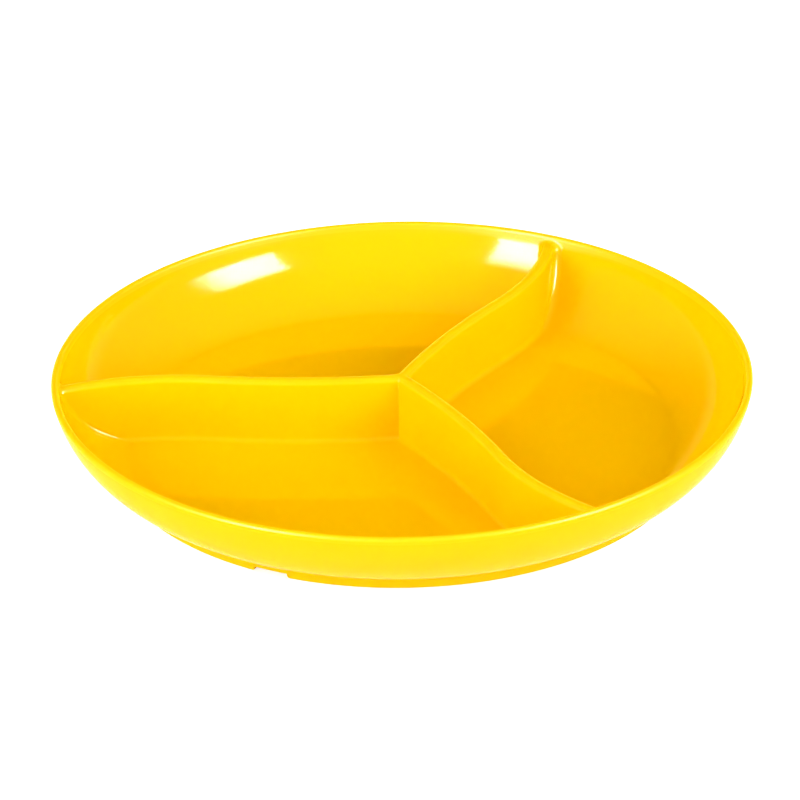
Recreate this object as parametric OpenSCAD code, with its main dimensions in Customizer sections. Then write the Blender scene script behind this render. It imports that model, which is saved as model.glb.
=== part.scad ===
// Round compartment plate: one moulding in glossy melamine. A flat floor and a flaring
// wall with a rounded lip hold three food compartments, parted by three dividers that
// start at the hub and run to the wall in a shallow S. It stands on a low foot ring
// that three drain notches part into arcs.
// Origin: centre of the foot ring, on the surface that the plate stands on. +Z is up.

/* [Plate] */
// Diameter over the lip
plate_d = 250; // [200:1:320]
// Height from the table to the top of the lip
plate_h = 31; // [28:0.5:40]

/* [Wall] */
// Thickness of the wall, square to its surface
wall_t = 2.6; // [1.8:0.1:3.2]
// Radius of the wall's outer curve, seen in section
wall_bow_r = 35.5; // [32:0.5:60]

/* [Floor] */
// Thickness of the floor
floor_t = 2.7; // [2.2:0.1:4]
// Radius of the curve between the floor and the wall
floor_blend_r = 10; // [4:0.5:14]

/* [Foot ring] */
// Distance from the lip's edge in to the foot ring's edge, seen from above
foot_inset = 21.4; // [17:0.1:24]
// Height of the floor's underside above the table
foot_h = 2; // [1.5:0.1:3]
// Width of the foot ring's bottom face, with its rounded edges
foot_w = 3.4; // [2:0.1:5]
// Outward draft of the foot ring's outer face, in degrees
foot_draft = 12; // [4:1:16]
// Rounding of the foot ring's two bottom edges
foot_edge_r = 0.6; // [0.2:0.1:0.9]
// Height of the foot band, up to where the wall's curve starts
foot_band_h = 4; // [3.2:0.1:4.6]
// Length of each drain notch
notch_l = 12.5; // [6:0.5:20]
// Rounding of the foot ring's lower corners at the notches
notch_edge_r = 1.2; // [0.4:0.1:1.4]
// Direction of the drain notches, in degrees past the middle of a compartment
notch_turn = 3.7; // [-20:0.1:20]

/* [Dividers] */
// Thickness of each divider at its top
divider_t = 4.7; // [4:0.1:7]
// Depth of the dividers' tops below the lip
divider_drop = 2; // [1:0.5:8]
// Draft of each side, in degrees
divider_draft = 1; // [0.5:0.5:2]
// Rounding of the dividers' top edges
divider_edge_r = 1.9; // [0.5:0.1:1.9]
// Radius of the curve where a divider meets the floor
divider_foot_r = 2.1; // [1:0.1:4]
// Direction in which the dividers leave the hub, in degrees off their base lines
divider_turn = 6.3; // [3:0.1:10]
// Radius of the first bend, from the hub outwards
bend_in_r = 274; // [200:1:500]
// Length of the first bend
bend_in_l = 69; // [55:1:75]
// Radius of the second bend, up to the wall
bend_out_r = 100; // [85:1:160]

/* [Hidden] */
$fn = 120;

pitch = 360 / 3;
back_turn = pitch / 2;
left_turn = back_turn + pitch;
front_turn = left_turn + pitch;
overrun = 1;
plate_r = plate_d / 2;
plate_yellow = [1, 0.84, 0.02];

// Foot ring: its outer face carries on above the floor's underside, as a low band
foot_r = plate_r - foot_inset;
foot_inner_r = foot_r - foot_w;
band_top = [foot_r + foot_band_h * tan(foot_draft), foot_band_h];

// Wall: both faces are arcs about one centre, and a full round closes their ends. The
// outer arc starts at the band's top, and the middle of the wall ends at the lip's centre
lip_r = wall_t / 2;
lip_at = [plate_r - lip_r, plate_h - lip_r];
wall_mid_r = wall_bow_r - lip_r;
wall_inner_r = wall_bow_r - wall_t;
rise = band_top - lip_at;
rise_l = norm(rise);
along = (wall_mid_r * wall_mid_r - wall_bow_r * wall_bow_r + rise_l * rise_l) / (2 * rise_l);
aside = sqrt(wall_mid_r * wall_mid_r - along * along);
wall_centre = lip_at + (along * rise + aside * [rise[1], -rise[0]]) / rise_l;
lip_turn = atan2(lip_at[1] - wall_centre[1], lip_at[0] - wall_centre[0]);

// Floor: the flat part ends where the curve up to the wall starts
floor_top = foot_h + floor_t;
blend_reach = wall_inner_r - floor_blend_r;
blend_drop = wall_centre[1] - floor_top - floor_blend_r;
floor_r = wall_centre[0] + sqrt(max(0, blend_reach * blend_reach - blend_drop * blend_drop));
blend_at = [floor_r, floor_top + floor_blend_r];
blend_end = wall_centre + (blend_at - wall_centre) * wall_inner_r / blend_reach;

// Dividers: the centre line is two arcs that share a tangent where they meet
divider_h = plate_h - divider_drop - floor_top;
divider_half = divider_t / 2;
divider_foot_half = divider_half + divider_h * tan(divider_draft);
bend_in_turn = bend_in_l / bend_in_r * 180 / PI;
bend_out_turn = (plate_r - bend_in_l / 2) / bend_out_r * 180 / PI;
meet_turn = divider_turn - bend_in_turn;
bend_meet = bend_in_r * [sin(divider_turn) - sin(meet_turn), cos(meet_turn) - cos(divider_turn)];

// Section of the space above the floor, from the axis out to the wall's inner face
module bowl_section() {
  difference() {
    union() {
      translate([0, floor_top])
        square([wall_centre[0], plate_h + overrun - floor_top]);
      intersection() {
        translate(wall_centre) circle(r = wall_inner_r);
        translate([wall_centre[0] - overrun, floor_top])
          square([wall_inner_r + 2 * overrun, plate_h + overrun - floor_top]);
      }
    }
    difference() {
      polygon([[floor_r, floor_top], [blend_end[0], floor_top], blend_end]);
      translate(blend_at) circle(r = floor_blend_r);
    }
  }
}

// Space under the wall's outer face, ended square to the wall where the lip's round starts
module under_wall_section() {
  difference() {
    intersection() {
      translate(wall_centre) circle(r = wall_bow_r);
      translate([floor_r, foot_h]) square([plate_r - floor_r, plate_h - foot_h]);
    }
    translate(wall_centre) rotate(lip_turn) square([wall_bow_r + overrun, wall_bow_r]);
  }
}

module wall_section() {
  difference() {
    union() {
      under_wall_section();
      polygon([
        [floor_r, foot_h],
        [foot_r + foot_h * tan(foot_draft), foot_h],
        band_top,
        [floor_r, foot_band_h]
      ]);
    }
    bowl_section();
  }
  translate(lip_at) circle(r = lip_r);
}

// Section of a divider, upright on the floor: drafted sides, round top edges, curved foot
module divider_section() {
  normal = [cos(divider_draft), sin(divider_draft)];
  edge_at = [
    divider_half + (divider_edge_r * sin(divider_draft) - divider_edge_r) / cos(divider_draft),
    divider_h - divider_edge_r
  ];
  foot_at = [
    divider_foot_half + (divider_foot_r - divider_foot_r * sin(divider_draft)) / cos(divider_draft),
    divider_foot_r
  ];
  side_top = edge_at + divider_edge_r * normal;
  side_foot = foot_at - divider_foot_r * normal;

  difference() {
    polygon([
      [-divider_foot_half, 0],
      [divider_foot_half, 0],
      [divider_half, divider_h],
      [-divider_half, divider_h]
    ]);
    for (side = [0, 1])
      mirror([side, 0])
      difference() {
        polygon([
          side_top,
          [divider_half + overrun, divider_h + overrun],
          [edge_at[0], divider_h + overrun],
          [edge_at[0], divider_h]
        ]);
        translate(edge_at) circle(r = divider_edge_r);
      }
  }
  for (side = [0, 1])
    mirror([side, 0])
    difference() {
      polygon([[divider_foot_half, 0], [foot_at[0], 0], side_foot]);
      translate(foot_at) circle(r = divider_foot_r);
    }
}

// Both bends of a divider, drawn about the place where they meet, then set off the hub
module divider_bends() {
  translate([bend_meet[0], bend_meet[1], floor_top])
    rotate(meet_turn) {
      translate([0, -bend_in_r])
        rotate(90)
        rotate_extrude(angle = bend_in_turn)
        translate([bend_in_r, 0]) divider_section();
      translate([0, bend_out_r])
        rotate(-90)
        rotate_extrude(angle = bend_out_turn)
        translate([bend_out_r, 0]) divider_section();
    }
}

// Third of the plate that a divider stands in, which mitres it to the other two at the hub
module divider_third() {
  reach = 2 * plate_r;
  linear_extrude(height = plate_h)
    polygon([
      [0, 0],
      for (turn = [-pitch / 2, 0, pitch / 2])
        reach * [cos(divider_turn + turn), sin(divider_turn + turn)]
    ]);
}

module divider(base_turn) {
  color(plate_yellow)
    intersection() {
      rotate(base_turn)
        intersection() {
          divider_bends();
          divider_third();
        }
      rotate_extrude() bowl_section();
    }
}

module floor_disc() {
  color(plate_yellow) translate([0, 0, foot_h]) cylinder(r = floor_r, h = floor_t);
}

module side_wall() {
  color(plate_yellow) rotate_extrude() wall_section();
}

// Section of the foot ring, with its outer face in line with the band above it
module foot_section() {
  difference() {
    polygon([
      [foot_inner_r, 0],
      [foot_r, 0],
      [foot_r + foot_h * tan(foot_draft), foot_h],
      [foot_inner_r, foot_h]
    ]);
    foot_edge(foot_inner_r, 1);
    foot_edge(foot_r, -1);
  }
}

// Corner that rounds off a bottom edge of the foot ring, on the side that inwards faces
module foot_edge(edge, inwards) {
  centre = edge + inwards * foot_edge_r;
  difference() {
    translate([min(edge, centre), -overrun])
      square([foot_edge_r, foot_edge_r + overrun]);
    translate([centre, foot_edge_r]) circle(r = foot_edge_r);
  }
}

// Side view of a drain notch, wider at the table where the ring's corners are rounded
module notch_section() {
  translate([-notch_l / 2, -overrun]) square([notch_l, foot_h + 2 * overrun]);
  difference() {
    translate([-notch_l / 2 - notch_edge_r, -overrun])
      square([notch_l + 2 * notch_edge_r, overrun + notch_edge_r]);
    for (side = [-1, 1])
      translate([side * (notch_l / 2 + notch_edge_r), notch_edge_r])
        circle(r = notch_edge_r);
  }
}

module drain_notch() {
  translate([foot_inner_r - overrun, 0, 0])
    rotate([90, 0, 90])
    linear_extrude(height = foot_w + foot_h + 2 * overrun)
    notch_section();
}

module foot_arc(base_turn) {
  start = base_turn - pitch / 2 + notch_turn;
  color(plate_yellow)
    difference() {
      rotate(start) rotate_extrude(angle = pitch) foot_section();
      for (end = [0, pitch])
        rotate(start + end) drain_notch();
    }
}

floor_disc();
side_wall();
divider(back_turn);  // divider_back
divider(left_turn);  // divider_left
divider(front_turn);  // divider_front
foot_arc(back_turn);  // foot_arc_back
foot_arc(left_turn);  // foot_arc_left
foot_arc(front_turn);  // foot_arc_front
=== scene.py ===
import math
import bmesh
import bpy
from mathutils import Matrix, Vector


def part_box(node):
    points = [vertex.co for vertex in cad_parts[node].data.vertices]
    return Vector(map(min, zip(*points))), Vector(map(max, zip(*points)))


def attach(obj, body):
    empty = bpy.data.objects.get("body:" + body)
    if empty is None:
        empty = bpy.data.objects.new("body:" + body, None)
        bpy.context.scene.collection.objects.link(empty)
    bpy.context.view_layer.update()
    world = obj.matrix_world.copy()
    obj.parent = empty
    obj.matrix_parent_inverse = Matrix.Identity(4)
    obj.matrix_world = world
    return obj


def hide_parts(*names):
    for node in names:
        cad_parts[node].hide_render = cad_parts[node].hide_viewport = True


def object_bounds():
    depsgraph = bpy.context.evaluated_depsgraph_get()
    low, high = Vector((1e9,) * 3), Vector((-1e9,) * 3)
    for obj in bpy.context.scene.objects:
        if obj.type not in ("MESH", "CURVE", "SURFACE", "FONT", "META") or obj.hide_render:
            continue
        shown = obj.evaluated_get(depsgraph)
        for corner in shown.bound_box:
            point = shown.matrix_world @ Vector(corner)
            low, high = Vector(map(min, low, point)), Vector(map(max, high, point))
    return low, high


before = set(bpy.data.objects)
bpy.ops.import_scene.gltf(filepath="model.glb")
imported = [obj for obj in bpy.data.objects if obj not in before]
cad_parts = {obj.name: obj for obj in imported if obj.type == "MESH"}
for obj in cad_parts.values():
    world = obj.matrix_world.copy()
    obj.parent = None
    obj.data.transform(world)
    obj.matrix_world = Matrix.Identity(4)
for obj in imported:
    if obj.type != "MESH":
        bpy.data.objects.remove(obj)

cadLow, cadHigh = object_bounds()
mm = 0.001
print("Frame loaded:", len(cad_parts), "nodes")


def inMm(value):
    return round(value / mm, 3)


def toward(turn):
    return Vector((math.cos(turn), math.sin(turn)))


def leftOf(heading):
    return Vector((-math.sin(heading), math.cos(heading)))


def standing(r, turn, z):   # point at a radius, direction and height
    return Vector((r * math.cos(turn), r * math.sin(turn), z))


def divideEven(a, b, count):
    return [a + (b - a) * i / count for i in range(count + 1)]


def nearestTurn(turn, other):   # the same direction, counted so that it lies nearest to the other
    return turn + round((other - turn) / (2 * math.pi)) * 2 * math.pi


# Sizes in mm. What the frame already holds is read from it
plate = {
    "lipR": inMm(cadHigh.x),
    "height": inMm(cadHigh.z),
    "footUnder": inMm(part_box("floor_disc")[0].z),
    "floorTop": inMm(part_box("floor_disc")[1].z),
    "floorR": inMm(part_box("floor_disc")[1].x),
    "wallT": 2.6,           # thickness of the wall
    "wallBowR": 35.5,       # the wall's outer curve, in section
    "blendR": 10.0,         # curve between floor and wall
    "bandHeight": 4.0,      # where the wall's curve meets the foot band
    "bandSoftR": 0.7,       # softening of that line
    "floorBorder": 0.6,     # flat strip round each compartment's floor
    "wallRows": 16,
    "lipSteps": 16,
    "outsideRows": 22,
    "columnTurn": math.radians(1.7),
}
foot = {
    "outerR": 103.6,
    "innerR": 100.2,
    "draft": math.radians(12),
    "edgeR": 0.6,
    "middleZ": 1.2,         # row half-way down the outer face
    "overNotch": 0.5,       # how far above the drain notches the next row lies
    "flatStep": 0.7,        # flat of the bottom face beside its inner edge
    "insideR": 0.5,         # curve from the inner face to the underside of the floor
    "underBorder": 1.5,     # how far the underside's outline lies inside the ring
    "notchLength": 12.5,
    "notchEdgeR": 1.2,
    "notchTurn": math.radians(3.7),
}
divider = {
    "top": inMm(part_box("divider_back")[1].z),
    "topHalf": 2.35,
    "draft": math.radians(1),
    "edgeR": 2.2,           # rounding of the top edges
    "footR": 2.1,           # curve down to the floor
    "turn": math.radians(6.3),
    "firstBendR": 274.0,
    "firstBendLength": 69.0,
    "secondBendR": 100.0,
    "lineEnd": 125.0,       # how far along its centre line a divider is at the wall
    "aside": 4.0,           # from there, or from the hub, to a place inside the compartment
    "hubCornerR": 0.8,      # upright corners at the hub
    "leastHubR": 0.3,       # and at the floor, where the sides' curves narrow them
    "wallCornerR": 2.5,     # upright corners at the wall
    "leastWallR": 0.8,
    "wallTopR": 0.85,       # reach of the curve from a divider's top up to the wall
}
steps = {                   # how many parts each curve or side is divided into
    "corner": 8,
    "side": 46,
    "hub": 6,
    "rounding": 8,
    "footRounding": 9,
    "wallUp": 3,
    "footEdge": 5,
    "inside": 4,
    "notchEdge": 4,
}
halvings = 60               # tries at halving the gap round a wanted height

# The wall's two faces are arcs about one centre
lipRound = plate["wallT"] / 2
lipAt = Vector((plate["lipR"] - lipRound, plate["height"] - lipRound))
bandSpread = plate["bandHeight"] * math.tan(foot["draft"])
bandTop = Vector((foot["outerR"] + bandSpread, plate["bandHeight"]))
rise = bandTop - lipAt
midR = plate["wallBowR"] - lipRound
along = (midR ** 2 - plate["wallBowR"] ** 2 + rise.length ** 2) / (2 * rise.length)
aside = math.sqrt(midR ** 2 - along ** 2)
wallCentre = lipAt + (along * rise + aside * Vector((rise.y, -rise.x))) / rise.length
innerR = plate["wallBowR"] - plate["wallT"]
lipTurn = math.atan2(lipAt.y - wallCentre.y, lipAt.x - wallCentre.x)
blendAt = Vector((plate["floorR"], plate["floorTop"] + plate["blendR"]))
blendEnd = wallCentre + (blendAt - wallCentre) * innerR / (innerR - plate["blendR"])


def wallInside(z):          # radius of the wall's inner face at a height
    if z < blendEnd.y:
        return blendAt.x + math.sqrt(max(plate["blendR"] ** 2 - (z - blendAt.y) ** 2, 0))
    return wallCentre.x + math.sqrt(innerR ** 2 - (z - wallCentre.y) ** 2)


def wallTurn(z):            # where that height lies on the inner arc
    return math.asin((z - wallCentre.y) / innerR)


def onArc(radius, turn):
    return wallCentre + radius * toward(turn)


# Divider centre line: two bends that share a tangent
meetTurn = divider["turn"] - divider["firstBendLength"] / divider["firstBendR"]
firstCentre = -divider["firstBendR"] * leftOf(divider["turn"])
meetAt = firstCentre + divider["firstBendR"] * leftOf(meetTurn)
secondCentre = meetAt + divider["secondBendR"] * leftOf(meetTurn)


def turned(p, turn):
    c, s = math.cos(turn), math.sin(turn)
    return Vector((p[0] * c - p[1] * s, p[0] * s + p[1] * c))


def besideLine(run, aside, base):
    # Point that lies aside to the left of a divider's centre line, and the heading there
    if run < divider["firstBendLength"]:
        heading = divider["turn"] - run / divider["firstBendR"]
        p = firstCentre + (divider["firstBendR"] + aside) * leftOf(heading)
    else:
        heading = meetTurn + (run - divider["firstBendLength"]) / divider["secondBendR"]
        p = secondCentre - (divider["secondBendR"] - aside) * leftOf(heading)
    return turned(p, base), heading + base


def runOfFirst(direction, base):
    heading = math.atan2(direction.y, direction.x) - math.pi / 2 - base
    heading = (heading + math.pi) % (2 * math.pi) - math.pi
    return divider["firstBendR"] * (divider["turn"] - heading)


def runOfSecond(direction, base):
    heading = math.atan2(direction.y, direction.x) + math.pi / 2 - base
    heading = (heading + math.pi) % (2 * math.pi) - math.pi
    return divider["firstBendLength"] + divider["secondBendR"] * (heading - meetTurn)


def crossing(c1, r1, c2, r2, near):
    # Where two circles cross, on the side that near lies on
    d = c2 - c1
    reach = (r1 ** 2 - r2 ** 2 + d.length_squared) / (2 * d.length)
    half = math.sqrt(max(r1 ** 2 - reach ** 2, 0))
    middle = c1 + d * reach / d.length
    across = Vector((-d.y, d.x)) / d.length * half
    return min((middle + across, middle - across), key=lambda p: (p - near).length)


def arcPoints(centre, radius, start, end, count):
    a = math.atan2(start.y - centre.y, start.x - centre.x)
    b = nearestTurn(math.atan2(end.y - centre.y, end.x - centre.x), a)
    return [centre + radius * toward(turn) for turn in divideEven(a, b, count)]


baseA, baseB = math.radians(-60), math.radians(60)
firstA, firstB = turned(firstCentre, baseA), turned(firstCentre, baseB)
secondA, secondB = turned(secondCentre, baseA), turned(secondCentre, baseB)
axis = Vector((0, 0))
endA, endB = [besideLine(divider["lineEnd"], 0, base)[0] for base in (baseA, baseB)]
sides = {"A": (baseA, secondA, endA, 1), "B": (baseB, secondB, endB, -1)}
hubSide = divider["aside"] * toward(divider["turn"])    # place on the compartment's side of the hub


def wallCorner(half, wallR, cornerR, side):
    # Upright corner between a divider's side and the wall: its centre, and its ends on either
    second, end, sign = sides[side][1:]
    reach = divider["secondBendR"] - sign * half
    outward = end.normalized()
    near = end + divider["aside"] * (turned(outward, sign * math.pi / 2) - outward)
    centre = crossing(second, reach - sign * cornerR, axis, wallR - cornerR, near)
    return centre, second + (centre - second).normalized() * reach, centre.normalized() * wallR


def hubCorner(half, cornerR):
    r = divider["firstBendR"]
    centre = crossing(firstA, r + half + cornerR, firstB, r - half - cornerR, hubSide)
    onA = firstA + (centre - firstA).normalized() * (r + half)
    onB = firstB + (centre - firstB).normalized() * (r - half)
    return centre, onA, onB


# Offsets from a drain notch's middle at which the foot needs columns of its own. The second
# lies a hair inside the notch, so that the roof's edge is upright
notchHalf = foot["notchLength"] / 2
notchOffsets = [notchHalf * 0.5, notchHalf - 0.0001]
for turn in divideEven(0, math.pi / 2, steps["notchEdge"]):
    notchOffsets.append(notchHalf + foot["notchEdgeR"] * (1 - math.cos(turn)))
notchOffsets = [-x for x in reversed(notchOffsets)] + [0.0] + notchOffsets


def notchRoof(x):           # height of the notch's outline over the table
    out = abs(x) - notchHalf
    if out < 0:
        return plate["footUnder"]
    r = foot["notchEdgeR"]
    return r - math.sqrt(max(r * r - (r - out) ** 2, 0)) if out < r else 0.0


def wallColumns(start, end):
    # Directions of the wall's columns, from divider B back to divider A
    reach = math.asin(max(notchOffsets) / foot["outerR"])
    high, low = foot["notchTurn"] + reach, foot["notchTurn"] - reach
    upper = divideEven(start, high, round((start - high) / plate["columnTurn"]))[:-1]
    lower = divideEven(low, end, round((low - end) / plate["columnTurn"]))[1:]
    middle = [foot["notchTurn"] + math.asin(x / foot["outerR"]) for x in reversed(notchOffsets)]
    return upper + middle + lower, len(upper)


def sideRuns(onA, onB, hubA, hubB):
    wallRunA, hubRunA = runOfSecond(onA - secondA, baseA), runOfFirst(hubA - firstA, baseA)
    hubRunB, wallRunB = runOfFirst(hubB - firstB, baseB), runOfSecond(onB - secondB, baseB)
    runsA = divideEven(wallRunA, hubRunA, steps["side"])
    return runsA, divideEven(hubRunB, wallRunB, steps["side"])


wallLayout = {}     # where the wall's columns stand, and how many come before the drain notch


def pocketRing(z, half, wallR, hubR, cornerR):
    # A compartment's outline at one height: corner A, side A, hub, side B, corner B, wall
    centreA, onA, wallA = wallCorner(half, wallR, cornerR, "A")
    centreB, onB, wallB = wallCorner(half, wallR, cornerR, "B")
    centreH, hubA, hubB = hubCorner(half, hubR)
    runsA, runsB = sideRuns(onA, onB, hubA, hubB)
    points = arcPoints(centreA, cornerR, wallA, onA, steps["corner"])[:-1]
    points += [besideLine(run, half, baseA)[0] for run in runsA][:-1]
    points += arcPoints(centreH, hubR, hubA, hubB, steps["hub"])[:-1]
    points += [besideLine(run, -half, baseB)[0] for run in runsB][:-1]
    points += arcPoints(centreB, cornerR, onB, wallB, steps["corner"])
    start, end = math.atan2(wallB.y, wallB.x), math.atan2(wallA.y, wallA.x)
    if not wallLayout:      # the first outline asked for is the highest, and sets the columns
        turns, wallLayout["beforeNotch"] = wallColumns(start, end)
        wallLayout["shares"] = [(turn - start) / (end - start) for turn in turns]
    shares = wallLayout["shares"][1:-1]
    points += [wallR * toward(start + (end - start) * share) for share in shares]
    return [Vector((p.x, p.y, z)) for p in points]


# Section of a divider: where its top edges start to round, and the centre of its foot's curve
draftSin, draftCos = math.sin(divider["draft"]), math.cos(divider["draft"])
edgeHalf = divider["topHalf"] - divider["edgeR"] * (1 - draftSin) / draftCos
edgeZ = divider["top"] - divider["edgeR"]
sideTopHalf = edgeHalf + divider["edgeR"] * draftCos
sideTopZ = edgeZ + divider["edgeR"] * draftSin
dividerHeight = divider["top"] - plate["floorTop"]
sideFootHalf = divider["topHalf"] + dividerHeight * math.tan(divider["draft"])
footCentre = sideFootHalf + divider["footR"] * (1 - draftSin) / draftCos
topWallR = wallInside(sideTopZ)
topRing = pocketRing(sideTopZ, sideTopHalf, topWallR, divider["hubCornerR"], divider["wallCornerR"])
chainEnd = 2 * steps["corner"] + 2 * steps["side"] + steps["hub"]


def pocketRings():
    # All levels of a compartment, from inside the floor's edge up to where the tops start to round
    rings = []
    level = plate["floorTop"]
    upCurve = divideEven(0, math.pi / 2 - divider["draft"], steps["footRounding"] + 1)
    soft = [(1 - math.cos(t)) * divider["footR"] for t in upCurve]
    straight = divideEven(soft[-1], sideTopZ - level, plate["wallRows"])[1:-1]
    for h in soft + straight:
        side = sideFootHalf - h * math.tan(divider["draft"])
        half = side
        if h <= soft[-1] + 1e-6:
            half = footCentre - math.sqrt(divider["footR"] ** 2 - (divider["footR"] - h) ** 2)
        spread = half - side
        hubR = max(divider["leastHubR"], divider["hubCornerR"] - spread)
        cornerR = max(divider["leastWallR"], divider["wallCornerR"] - spread)
        if not rings:       # flat border inside the floor's edge
            border = plate["floorBorder"]
            edgeR = wallInside(level) - border
            rings.append(pocketRing(level, half + border, edgeR, hubR, cornerR))
        rings.append(pocketRing(level + h, half, wallInside(level + h), hubR, cornerR))
    return rings + [topRing]


def endCurve(half, z, sideReach, wallReach, lift, side):
    # Curve that leads from the wall down into a divider's top or side near its end
    base, second, end, sign = sides[side]
    meeting = crossing(second, divider["secondBendR"] - sign * half, axis, wallInside(z), end)
    run = runOfSecond(meeting - second, base)
    start, heading = besideLine(run - sideReach, sign * half, base)
    turn = math.atan2(meeting.y, meeting.x) + sign * wallReach * math.cos(lift) / wallInside(z)
    height = wallTurn(z) + wallReach * math.sin(lift) / innerR
    spot = onArc(innerR, height)
    out = Vector((math.cos(turn), math.sin(turn), 0))
    onWall = Vector((spot.x * out.x, spot.x * out.y, spot.y))
    up = Vector((-math.sin(height) * out.x, -math.sin(height) * out.y, math.cos(height)))
    leave = math.cos(lift) * sign * Vector((-out.y, out.x, 0)) + math.sin(lift) * up
    arrive = Vector((math.cos(heading), math.sin(heading), 0))
    bend = math.acos(max(-1, min(1, arrive.dot(leave))))
    pull = 4 / 3 * math.tan(bend / 4) / math.tan(bend / 2)     # makes the curve's bend even
    a = Vector((start.x, start.y, z))
    b, c = a + arrive * sideReach * pull, onWall - leave * wallReach * pull
    points = []
    for t in divideEven(0, 1, steps["corner"]):
        s = 1 - t
        points.append(a * s ** 3 + b * 3 * s * s * t + c * 3 * s * t * t + onWall * t ** 3)
    return points, run - sideReach


def topRows():
    # Over the dividers' top edges to their centre lines, with the ends curving up to the wall
    reaches = {}
    for side in "AB":
        base, second, end, sign = sides[side]
        meeting = crossing(second, divider["secondBendR"] - sign * sideTopHalf, axis, topWallR, end)
        onSide, onWall = wallCorner(sideTopHalf, topWallR, divider["wallCornerR"], side)[1:]
        alongSide = runOfSecond(meeting - second, base) - runOfSecond(onSide - second, base)
        reaches[side] = (alongSide, (onWall - meeting).length)
    rows = []
    for step in range(1, steps["rounding"] + 2):
        share = min(step / steps["rounding"], 1)
        over = divider["draft"] + (math.pi / 2 - divider["draft"]) * share
        flat = step > steps["rounding"]
        half = 0.0 if flat else edgeHalf + divider["edgeR"] * math.cos(over)
        z = edgeZ + divider["edgeR"] * math.sin(over)
        ends = {}
        for side in "AB":
            sideReach, wallReach = (r + (divider["wallTopR"] - r) * share for r in reaches[side])
            ends[side] = endCurve(half, z, sideReach, wallReach, math.pi / 2 * share, side)
        hubR = divider["hubCornerR"] + sideTopHalf - half
        centreH, hubA, hubB = hubCorner(half, hubR)
        hubRun = runOfFirst(hubA - firstA, baseA)
        hubRunB = hubRun if flat else runOfFirst(hubB - firstB, baseB)
        runsA = divideEven(ends["A"][1], hubRun, steps["side"])[1:]
        runsB = divideEven(hubRunB, ends["B"][1], steps["side"])[:-1]
        line = [besideLine(run, half, baseA)[0] for run in runsA]
        if flat:            # the last row follows both centre lines through the hub
            middle = steps["hub"] // 2
            line += [besideLine(hubRun * (1 - i / middle), 0, baseA)[0] for i in range(1, middle)]
            line += [Vector((0, 0))]
            line += [besideLine(hubRun * i / middle, 0, baseB)[0] for i in range(1, middle)]
        else:
            line += arcPoints(centreH, hubR, hubA, hubB, steps["hub"])[1:-1]
        line += [besideLine(run, -half, baseB)[0] for run in runsB]
        between = [Vector((p.x, p.y, z)) for p in line]
        rows.append(ends["A"][0][::-1] + between + ends["B"][0])
    return rows


def arcRow(centre, radius, start, end, count):
    return [centre + radius * toward(turn) for turn in divideEven(start, end, count)]


def outsideProfile():
    # Section from the lip's round down the outside, round the foot and in under the floor
    points = []
    for i in range(1, plate["lipSteps"] + 1):
        points.append(lipAt + lipRound * toward(lipTurn + math.pi * (1 - i / plate["lipSteps"])))
    c, s = math.cos(foot["draft"]), math.sin(foot["draft"])
    soft = plate["bandSoftR"]
    low, high = 0.0, 10.0   # the softening's centre lies as far from the wall as from the foot band
    for i in range(halvings):
        z = (low + high) / 2
        centre = Vector((foot["outerR"] + (soft + z * s) / c, z))
        if (centre - wallCentre).length > plate["wallBowR"] + soft:
            low = z
        else:
            high = z
    toWall = (wallCentre - centre).normalized()
    bandTurn = math.atan2(-toWall.y, -toWall.x)
    points += arcRow(wallCentre, plate["wallBowR"], lipTurn, bandTurn, plate["outsideRows"])[1:]
    wallSide = math.atan2(toWall.y, toWall.x)
    bandSide = nearestTurn(math.atan2(s, -c), wallSide)
    points += arcRow(centre, soft, wallSide, bandSide, steps["footEdge"])[1:]
    under, r = plate["footUnder"], foot["edgeR"]
    heights = (under + foot["overNotch"], under, foot["middleZ"])
    points += [Vector((foot["outerR"] + z * s / c, z)) for z in heights]
    edge = Vector((foot["outerR"] + r * s / c - r / c, r))
    points += arcRow(edge, r, -foot["draft"], -math.pi / 2, steps["footEdge"])
    edge = Vector((foot["innerR"] + r, r))
    points += [Vector((edge.x + foot["flatStep"], 0))]
    points += arcRow(edge, r, -math.pi / 2, -math.pi, steps["footEdge"])
    inside = foot["insideR"]
    edge = Vector((foot["innerR"] - inside, under - inside))
    points += arcRow(edge, inside, 0, math.pi / 2, steps["inside"])
    return points + [Vector((foot["innerR"] - foot["underBorder"], under))]


print("Sections ready")


def pullRow(points, row):
    # New edges come off the selected ones, and each new corner goes to its place
    bpy.ops.mesh.extrude_edges_move()
    shell = bmesh.from_edit_mesh(bpy.context.object.data)
    place, level = shell.verts.layers.int["place"], shell.verts.layers.int["level"]
    for v in shell.verts:
        if v.select:
            v.co = points[v[place]] * mm
            v[level] = row
    bmesh.update_edit_mesh(bpy.context.object.data)


def selectEdges(wanted):
    bpy.ops.mesh.select_all(action="DESELECT")
    shell = bmesh.from_edit_mesh(bpy.context.object.data)
    place, level = shell.verts.layers.int["place"], shell.verts.layers.int["level"]
    for e in shell.edges:
        a, b = e.verts
        if wanted((a[level], a[place]), (b[level], b[place])):
            e.select_set(True)
    bmesh.update_edit_mesh(bpy.context.object.data)


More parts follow.
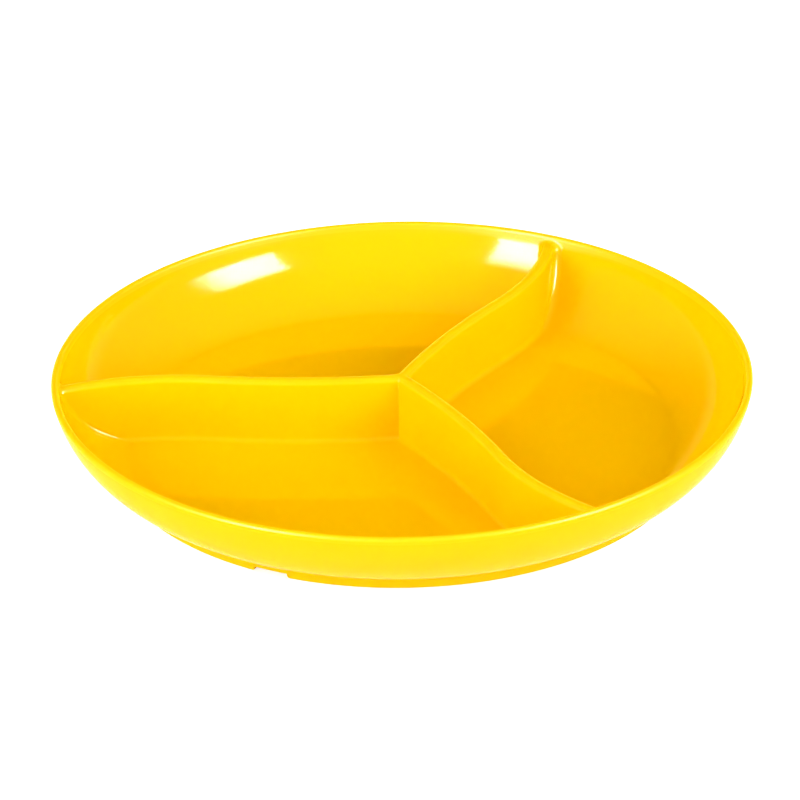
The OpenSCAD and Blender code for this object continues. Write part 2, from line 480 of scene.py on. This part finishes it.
rings = pocketRings()
bpy.ops.object.select_all(action="DESELECT")
bpy.ops.mesh.primitive_circle_add(vertices=len(topRing), radius=plate["floorR"] * mm / 2)
plateBody = bpy.context.object
plateBody.name = "compartmentPlate"
bpy.ops.object.mode_set(mode="EDIT")
bpy.ops.mesh.select_mode(type="EDGE")
shell = bmesh.from_edit_mesh(plateBody.data)
place, level = shell.verts.layers.int.new("place"), shell.verts.layers.int.new("level")
shell.verts.ensure_lookup_table()
for i, v in enumerate(shell.verts):
    v[place] = i
    v.co = rings[0][i] * mm
bmesh.update_edit_mesh(plateBody.data)
bpy.ops.mesh.select_all(action="SELECT")
bpy.ops.mesh.edge_face_add()    # the flat of the floor
for row in range(1, len(rings)):
    pullRow(rings[row], row)
topLevel = len(rings) - 1
print("Compartment shaped:", len(rings), "levels of", len(topRing), "corners")


def isTopEdge(a, b):
    # Edge along the dividers' sides, where their tops start: each corner has its level and place
    return a[0] == b[0] == topLevel and max(a[1], b[1]) <= chainEnd and abs(a[1] - b[1]) == 1


selectEdges(isTopEdge)
overRows = topRows()
for row, points in enumerate(overRows, topLevel + 1):
    pullRow(points, row)
lastLevel = topLevel + len(overRows)
print("Divider tops shaped")

# The wall's columns: down divider B's end, along the wall and up divider A's end
downB = [row[chainEnd] for row in reversed(overRows)]
upA = [row[0] for row in overRows]
columns = downB + topRing[chainEnd:] + [topRing[0]] + upA


def isWallEdge(a, b):
    # Edge that the upper wall grows from: along the wall itself, or up a divider's end
    if a[0] == b[0] == topLevel:
        first, last = sorted((a[1], b[1]))
        return first >= chainEnd or (first == 0 and last > chainEnd + 1)
    upright = abs(a[0] - b[0]) == 1 and min(a[0], b[0]) >= topLevel
    return upright and a[1] == b[1] and a[1] in (0, chainEnd)


selectEdges(isWallEdge)
shell = bmesh.from_edit_mesh(plateBody.data)
place, level = shell.verts.layers.int["place"], shell.verts.layers.int["level"]
for v in shell.verts:
    if v.select:
        up = v[level] - topLevel
        if v[place] == chainEnd:
            v[place] = len(overRows) - up
        elif v[place] == 0:
            v[place] = len(columns) - 1 - len(overRows) + up
        else:
            v[place] += len(overRows) - chainEnd
bmesh.update_edit_mesh(plateBody.data)
notchStart = len(overRows) + wallLayout["beforeNotch"]
turns = [math.atan2(p.y, p.x) for p in columns]
for step in range(1, steps["wallUp"] + 1):
    points = []
    for p, turn in zip(columns, turns):
        height = wallTurn(p.z)
        spot = onArc(innerR, height + (lipTurn - height) * step / steps["wallUp"])
        points.append(standing(spot.x, turn, spot.y))
    pullRow(points, lastLevel + step)
lastLevel += steps["wallUp"]
for row, spot in enumerate(outsideProfile(), lastLevel + 1):
    points = []
    for i, turn in enumerate(turns):
        z = spot.y
        if 0 <= i - notchStart < len(notchOffsets) and z < plate["bandHeight"]:
            x = -notchOffsets[i - notchStart]
            turn = foot["notchTurn"] + math.asin(x / spot.x)
            z = max(z, notchRoof(x))
        points.append(standing(spot.x, turn, z))
    pullRow(points, row)
print("Wall, lip and foot shaped")

# The third is turned twice more about the axis, and the three are joined where they meet
seams = {"meet": 0.003, "speck": 0.001, "sharpTurn": math.radians(35)}
bpy.ops.mesh.select_mode(type="VERT")
bpy.ops.mesh.select_all(action="SELECT")
bpy.ops.mesh.spin(steps=2, dupli=True, angle=math.radians(240), center=(0, 0, 0), axis=(0, 0, 1))
bpy.ops.mesh.select_all(action="SELECT")
bpy.ops.mesh.remove_doubles(threshold=seams["meet"] * mm)
bpy.ops.mesh.dissolve_degenerate(threshold=seams["speck"] * mm)
bpy.ops.mesh.select_all(action="DESELECT")
bpy.ops.mesh.select_non_manifold(extend=False)  # what is open now is the ring under the floor
bpy.ops.mesh.edge_face_add()
bpy.ops.mesh.select_all(action="SELECT")
bpy.ops.mesh.normals_make_consistent(inside=False)
bpy.ops.object.mode_set(mode="OBJECT")
bpy.ops.object.shade_smooth_by_angle(angle=seams["sharpTurn"])
for name in ("place", "level"):
    plateBody.data.attributes.remove(plateBody.data.attributes[name])
closed = plateBody.data
print("Plate closed:", len(closed.vertices), "corners,", len(closed.polygons), "faces")

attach(plateBody, "root")
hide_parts(*[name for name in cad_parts])

# Glossy moulded melamine: a deep yellow under a clear, slightly rippled surface
melamine = {
    "yellow": (0.97, 0.53, 0, 1),
    "deeper": (0.96, 0.505, 0, 1),
    "clouds": (22, 4),      # pattern repeats per metre, and how many finer ones lie over it
    "grain": (700, 3),
    "grainSpan": (0.3, 0.7),
    "polish": (0.07, 0.11),     # roughness, by the grain
    "rubbed": 0.36,         # roughness of the lip and the dividers' tops
    "rubbedHeight": (0.0270, 0.0292),
    "ripple": (160, 2),
    "rippleStrength": 0.5,
    "rippleDepth": 0.00002,
    "ior": 1.44,
    "shineTint": (1, 0.97, 0.35, 1),
    "coatIor": 1.05,
    "coatTint": (1, 1, 0.4, 1),
    "glow": 0.25,           # share of the light that comes out a little beside where it goes in
    "glowReach": 0.003,
    "glowSpread": (1, 0.8, 0.1),
}


def yellowMelamine():
    paint = bpy.data.materials.new("yellowMelamine")
    paint.use_nodes = True
    nodes, links = paint.node_tree.nodes, paint.node_tree.links
    shader = nodes["Principled BSDF"]
    where = nodes.new("ShaderNodeTexCoord")

    def pattern(key):
        noise = nodes.new("ShaderNodeTexNoise")
        noise.inputs["Scale"].default_value, noise.inputs["Detail"].default_value = melamine[key]
        links.new(where.outputs["Object"], noise.inputs["Vector"])
        return noise.outputs["Fac"]

    def spread(value, span):
        ramp = nodes.new("ShaderNodeMapRange")
        ramp.inputs["From Min"].default_value, ramp.inputs["From Max"].default_value = span
        links.new(value, ramp.inputs["Value"])
        return ramp

    # A mix of colours takes them at 6 and 7, and a mix of numbers takes those at 2 and 3
    blend = nodes.new("ShaderNodeMix")
    blend.data_type = "RGBA"
    blend.inputs[6].default_value = melamine["yellow"]
    blend.inputs[7].default_value = melamine["deeper"]
    links.new(pattern("clouds"), blend.inputs[0])
    links.new(blend.outputs[2], shader.inputs["Base Color"])

    polish = spread(pattern("grain"), melamine["grainSpan"])
    polish.inputs["To Min"].default_value = melamine["polish"][0]
    polish.inputs["To Max"].default_value = melamine["polish"][1]
    parts = nodes.new("ShaderNodeSeparateXYZ")
    links.new(where.outputs["Object"], parts.inputs[0])
    edges = spread(parts.outputs["Z"], melamine["rubbedHeight"])
    worn = nodes.new("ShaderNodeMix")
    links.new(edges.outputs["Result"], worn.inputs[0])
    links.new(polish.outputs["Result"], worn.inputs[2])
    worn.inputs[3].default_value = melamine["rubbed"]
    links.new(worn.outputs[0], shader.inputs["Roughness"])

    bump = nodes.new("ShaderNodeBump")
    bump.inputs["Strength"].default_value = melamine["rippleStrength"]
    bump.inputs["Distance"].default_value = melamine["rippleDepth"]
    links.new(pattern("ripple"), bump.inputs["Height"])
    links.new(bump.outputs["Normal"], shader.inputs["Normal"])

    shader.inputs["IOR"].default_value = melamine["ior"]
    shader.inputs["Specular Tint"].default_value = melamine["shineTint"]
    shader.inputs["Subsurface Weight"].default_value = melamine["glow"]
    shader.inputs["Subsurface Scale"].default_value = melamine["glowReach"]
    shader.inputs["Subsurface Radius"].default_value = melamine["glowSpread"]
    shader.inputs["Coat Weight"].default_value = 1
    shader.inputs["Coat IOR"].default_value = melamine["coatIor"]
    shader.inputs["Coat Tint"].default_value = melamine["coatTint"]
    return paint


plateBody.data.materials.append(yellowMelamine())
print("Melamine ready")

# Pale floor, which keeps the plate's shadow, and soft lamps in a pale room
studio = {
    "floorSize": 12,
    "floorDrop": 0.1 * mm,  # so that the floor and the foot's bottom face don't lie in one plane
    "floorWhite": 0.8,
    "floorRough": 0.9,
    "floorGlow": 0.65,      # what the camera sees of it over its own light
    "floorMirrored": 0.4,   # the same in reflections
    # Strength of the room's light: by height, a white sweep below a pale ceiling, and by
    # depth, walls that are pale in front and at the sides and dark behind
    "byHeight": ((0.10, 1.0), (0.30, 0.0), (0.70, 0.0), (0.88, 0.4)),
    "byDepth": ((0.10, 0.8), (0.32, 0.68), (0.65, 0.65), (0.85, 0.0)),
    "rightLight": 6.95,
    "leftLight": 8.25,
    "stripLight": 2.0,      # low strips beside and behind the plate, for the tops of the dividers
    "stripBehind": 17.0,
    "stripFront": 3.4,      # low strip in front, for the foot band
    "lampShine": (38, 38, 180),     # how bright the lamps look where the surface mirrors them
    "lampAway": 1.15,
    "lightAway": 1.25,      # just behind, because lamps in one place hide one another
}


def plainWhite(nodes, links, seen, mirrored):
    # Strength for the camera, and in reflections and through glass. It gives no light
    path = nodes.new("ShaderNodeLightPath")
    indirect = nodes.new("ShaderNodeMath")
    indirect.operation = "MAXIMUM"
    links.new(path.outputs["Is Glossy Ray"], indirect.inputs[0])
    links.new(path.outputs["Is Transmission Ray"], indirect.inputs[1])
    faint = nodes.new("ShaderNodeMath")
    faint.operation = "MULTIPLY"
    links.new(indirect.outputs[0], faint.inputs[0])
    faint.inputs[1].default_value = mirrored
    strength = nodes.new("ShaderNodeMath")
    strength.operation = "MULTIPLY_ADD"
    links.new(path.outputs["Is Camera Ray"], strength.inputs[0])
    strength.inputs[1].default_value = seen
    links.new(faint.outputs[0], strength.inputs[2])
    return strength.outputs[0]


bpy.ops.object.select_all(action="DESELECT")
bpy.ops.mesh.primitive_plane_add(size=studio["floorSize"], location=(0, 0, -studio["floorDrop"]))
studioFloor = bpy.context.object
studioFloor.name = "studioFloor"
floorPaint = bpy.data.materials.new("paleFloor")
floorPaint.use_nodes = True
nodes, links = floorPaint.node_tree.nodes, floorPaint.node_tree.links
shader = nodes["Principled BSDF"]
shader.inputs["Base Color"].default_value = (studio["floorWhite"],) * 3 + (1,)
shader.inputs["Roughness"].default_value = studio["floorRough"]
shader.inputs["Specular IOR Level"].default_value = 0
shader.inputs["Emission Color"].default_value = (1, 1, 1, 1)
floorLook = plainWhite(nodes, links, studio["floorGlow"], studio["floorMirrored"])
links.new(floorLook, shader.inputs["Emission Strength"])
studioFloor.data.materials.append(floorPaint)

world = bpy.data.worlds.new("studioWorld")
bpy.context.scene.world = world
world.use_nodes = True
nodes, links = world.node_tree.nodes, world.node_tree.links
sky = nodes["Background"]
whereTo = nodes.new("ShaderNodeTexCoord")
split = nodes.new("ShaderNodeSeparateXYZ")
links.new(whereTo.outputs["Generated"], split.inputs[0])


def roomRamp(fraction, marks):
    ramp = nodes.new("ShaderNodeValToRGB")
    stops = ramp.color_ramp.elements
    while len(stops) < len(marks):
        stops.new(0.5)
    for stop, (place, strength) in zip(stops, marks):
        stop.position = place
        stop.color = (strength, strength, strength, 1)
    links.new(fraction, ramp.inputs["Fac"])
    return ramp.outputs["Color"]


depth = nodes.new("ShaderNodeMapRange")
depth.inputs["From Min"].default_value = -1
links.new(split.outputs["Y"], depth.inputs["Value"])
brighter = nodes.new("ShaderNodeMix")
brighter.data_type = "RGBA"
brighter.blend_type = "LIGHTEN"
brighter.inputs[0].default_value = 1
links.new(roomRamp(split.outputs["Z"], studio["byHeight"]), brighter.inputs[6])
links.new(roomRamp(depth.outputs["Result"], studio["byDepth"]), brighter.inputs[7])
links.new(brighter.outputs[2], sky.inputs["Color"])


def fadeOut(lamp, fade):
    # The panel's cloth is bright in the middle and dims towards its edges, by these shares of its
    # width and height: left, right, low, high
    lamp.data.use_nodes = True
    nodes, links = lamp.data.node_tree.nodes, lamp.data.node_tree.links
    spot = nodes.new("ShaderNodeNewGeometry")
    across = nodes.new("ShaderNodeSeparateXYZ")
    links.new(spot.outputs["Parametric"], across.inputs[0])
    strength = None
    for axis, (near, far) in (("X", fade[:2]), ("Y", fade[2:])):
        for start, end in ((0, near), (1, 1 - far)):
            ramp = nodes.new("ShaderNodeMapRange")
            ramp.interpolation_type = "SMOOTHSTEP"
            ramp.inputs["From Min"].default_value = start
            ramp.inputs["From Max"].default_value = end
            links.new(across.outputs[axis], ramp.inputs["Value"])
            if strength is None:
                strength = ramp.outputs["Result"]
            else:
                both = nodes.new("ShaderNodeMath")
                both.operation = "MULTIPLY"
                links.new(strength, both.inputs[0])
                links.new(ramp.outputs["Result"], both.inputs[1])
                strength = both.outputs[0]
    links.new(strength, nodes["Emission"].inputs["Strength"])


def softbox(name, turn, low, tall, wide, key, fade=None):
    # Upright lit panel. With fade it shows in the plate's shine, and otherwise it gives light.
    # Its low edge, height and width are those that it would have at the nearer distance
    shows = fade is not None
    away = studio["lampAway"] if shows else studio["lightAway"]
    grow = away / studio["lampAway"]
    glow = studio[key] if shows else (studio[key],) * 3
    outward = standing(1, math.radians(turn), 0)
    middle = Vector((0, 0, grow * (low + tall / 2)))
    bpy.ops.object.light_add(type="AREA", location=away * outward + middle)
    lamp = bpy.context.object
    lamp.name = name
    lamp.rotation_euler = outward.to_track_quat("Z", "Y").to_euler()
    lamp.data.shape = "RECTANGLE"
    lamp.data.size, lamp.data.size_y = grow * wide, grow * tall
    peak = max(glow)
    lamp.data.color = [c / peak for c in glow]
    lamp.data.energy = peak * math.pi * grow * wide * grow * tall
    lamp.visible_glossy = shows
    lamp.visible_diffuse = not shows
    if shows:
        fadeOut(lamp, fade)


# Name, direction in degrees, low edge, height and width in metres, strength and fading edges
lamps = (
    ("softboxRightLight", -33, 0.28, 0.77, 0.76, "rightLight"),
    ("softboxLeftLight", -142, 0.14, 1.05, 0.48, "leftLight"),
    ("softboxRightShine", -27, 0.30, 0.77, 0.76, "lampShine", (0.05, 0.5, 0.10, 0.25)),
    ("softboxLeftShine", -136, 0.14, 1.05, 0.48, "lampShine", (0.1, 0.05, 0.05, 0.6)),
    ("stripBehind", 90, 0.17, 0.22, 1.2, "stripBehind"),
    ("stripFront", -90, 0.02, 0.16, 1.2, "stripFront"),
    ("stripLeft", 135, 0.14, 0.28, 1.0, "stripLight"),
    ("stripRight", 45, 0.14, 0.28, 1.0, "stripLight"),
)
for lamp in lamps:
    softbox(*lamp)
print("Studio lit")

# Camera where the photograph was taken from, by the fit of the lip and the foot ring
view = {
    "away": 1.79507,        # metres from the foot ring's centre
    "height": math.radians(27.8403),
    "pan": -0.00043067,     # pan and tilt are slopes off the line to that centre
    "tilt": 0.00935027,
    "roll": -0.01435376,
    "lens": 224.6853,
    "sensor": 36,
    "near": 0.05,
    "far": 50,
}
ahead = Vector((0, math.cos(view["height"]), -math.sin(view["height"])))
upward = Vector((0, math.sin(view["height"]), math.cos(view["height"])))
look = (ahead + view["pan"] * Vector((1, 0, 0)) + view["tilt"] * upward).normalized()
side = look.cross(Vector((0, 0, 1))).normalized()
top = side.cross(look)
c, s = math.cos(view["roll"]), math.sin(view["roll"])
right, up = c * side + s * top, c * top - s * side
cameraData = bpy.data.cameras.new("studioCamera")
camera = bpy.data.objects.new("studioCamera", cameraData)
bpy.context.scene.collection.objects.link(camera)
heading = Matrix((right, up, -look)).transposed().to_4x4()
camera.matrix_world = Matrix.Translation(-view["away"] * ahead) @ heading
cameraData.lens = view["lens"]
cameraData.sensor_width = view["sensor"]
cameraData.clip_start, cameraData.clip_end = view["near"], view["far"]
bpy.context.scene.camera = camera
bpy.context.scene.view_settings.view_transform = "Standard"
print("Camera set")

bpy.context.view_layer.update()
